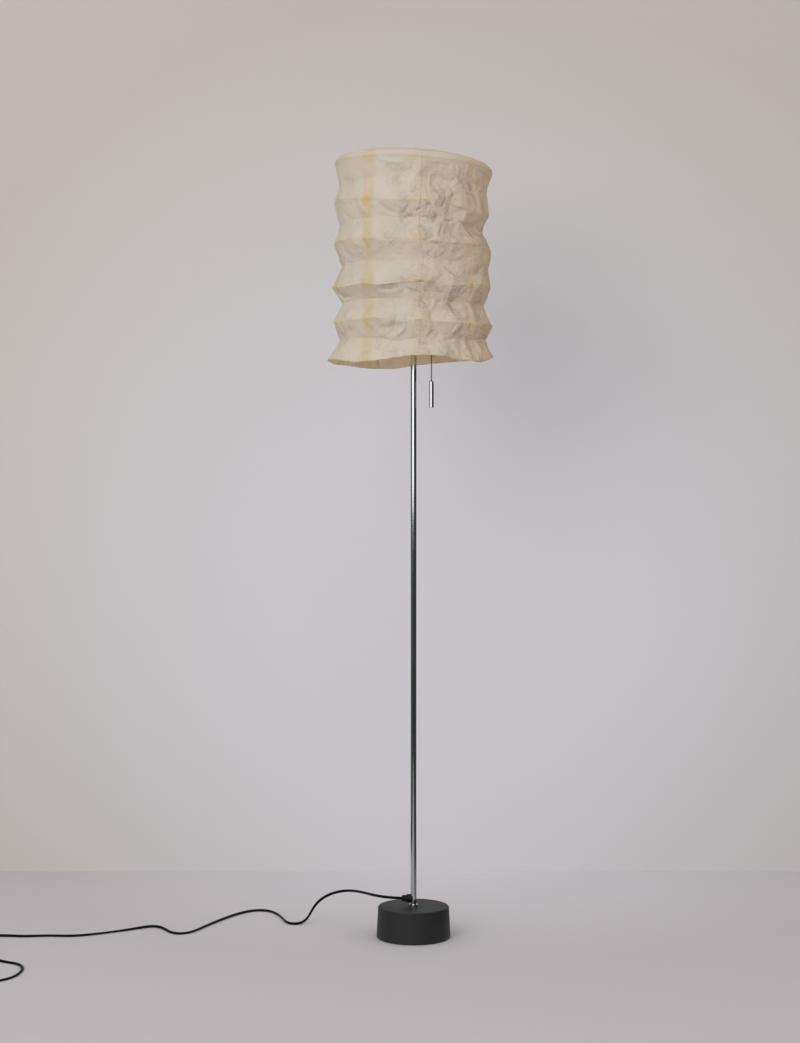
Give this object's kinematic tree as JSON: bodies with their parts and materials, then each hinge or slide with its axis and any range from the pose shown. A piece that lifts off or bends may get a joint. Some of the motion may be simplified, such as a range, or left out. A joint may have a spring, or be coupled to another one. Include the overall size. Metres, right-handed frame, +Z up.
{
  "type": "paper lantern floor lamp",
  "caption": "Floor lamp: heavy round foot, slim chrome pole, pleated crumpled paper cylinder shade and a bead pull chain switch.",
  "frame": {"origin": "centre of the foot's underside, on the floor", "axes": "+Z up along the pole, +X towards the pull chain, the cord leaves on -X, -Y is the front"},
  "size_m": [1.0553, 0.6172, 1.577],
  "materials": {
    "painted_iron": "matt textured paint on cast iron",
    "felt": "pressed felt",
    "zinc_steel": "zinc plated",
    "chrome_steel": "polished chrome plate",
    "brass": "turned and stamped",
    "black_nylon": "moulded",
    "seal_rubber": "moulded",
    "black_flex": "extruded flat twin flex",
    "bakelite": "moulded bakelite",
    "steatite": "pressed and fired",
    "frame_wire": "nickel plated wire",
    "opal_glass": "opal coated inside",
    "cap_aluminium": "rolled",
    "shade_paper": "creased and pleated, aged cream",
    "plug_pvc": "moulded"
  },
  "bodies": {
    "root": {"foot": "painted_iron", "felt_pad": "felt", "foot_stud": "zinc_steel", "foot_washer": "zinc_steel", "foot_nut": "zinc_steel", "foot_collar": "chrome_steel", "pole": "chrome_steel", "pole_insert": "brass", "gland_body": "black_nylon", "gland_nut": "black_nylon", "gland_seal": "seal_rubber", "inner_flex": "black_flex", "head_collar": "chrome_steel", "head_screw": "zinc_steel", "head_nipple": "brass", "nipple_nut": "zinc_steel", "holder_cup": "bakelite", "switch_block": "steatite", "terminal_screws": "brass", "holder_shell": "bakelite", "screw_shell": "brass", "centre_contact": "brass", "switch_housing": "bakelite", "return_spring": "zinc_steel", "lever_pin": "zinc_steel", "bulb_glass": "opal_glass", "bulb_cap": "cap_aluminium", "carrier_ring": "frame_wire", "ring_nut": "bakelite", "carrier_arms": "frame_wire", "top_ring": "frame_wire", "shade_paper": "shade_paper", "cord_run": "black_flex", "cord_coil": "black_flex", "coil_tie": "black_nylon", "cord_tail": "black_flex", "plug_sleeve": "plug_pvc", "plug_body": "plug_pvc", "plug_pins": "chrome_steel", "pin_sleeves": "plug_pvc"},
    "pull": {"pull_stem": "chrome_steel"},
    "lever": {"contact_lever": "brass"},
    "chain": {"chain_upper": "chrome_steel", "chain_connector": "chrome_steel"},
    "bob": {"chain_lower": "chrome_steel", "pull_bob": "chrome_steel"}
  },
  "joints": [
    {"name": "pull_travel", "type": "slide", "parent": "root", "child": "pull", "axis": [0, 0, -1], "range_m": [0, 0.006], "stiffness_N_per_m": 300, "springref_m": -0.004, "deforming": ["return_spring"]},
    {"name": "lever_turn", "type": "hinge", "parent": "root", "child": "lever", "pos_m": [0.023, 0, 1.27022], "axis": [0, 1, 0], "range_deg": [0, 27.5]},
    {"name": "chain_swing", "type": "hinge", "parent": "pull", "child": "chain", "pos_m": [0.036, 0, 1.243], "axis": [0, 1, 0], "range_deg": [-30, 6]},
    {"name": "bob_swing", "type": "hinge", "parent": "chain", "child": "bob", "pos_m": [0.036, 0, 1.1897], "axis": [1, 0, 0], "range_deg": [-30, 30]}
  ],
  "couplings": [
    {"joint": "lever_turn", "follows": "pull_travel", "rad_per_m": 76.9}
  ]
}
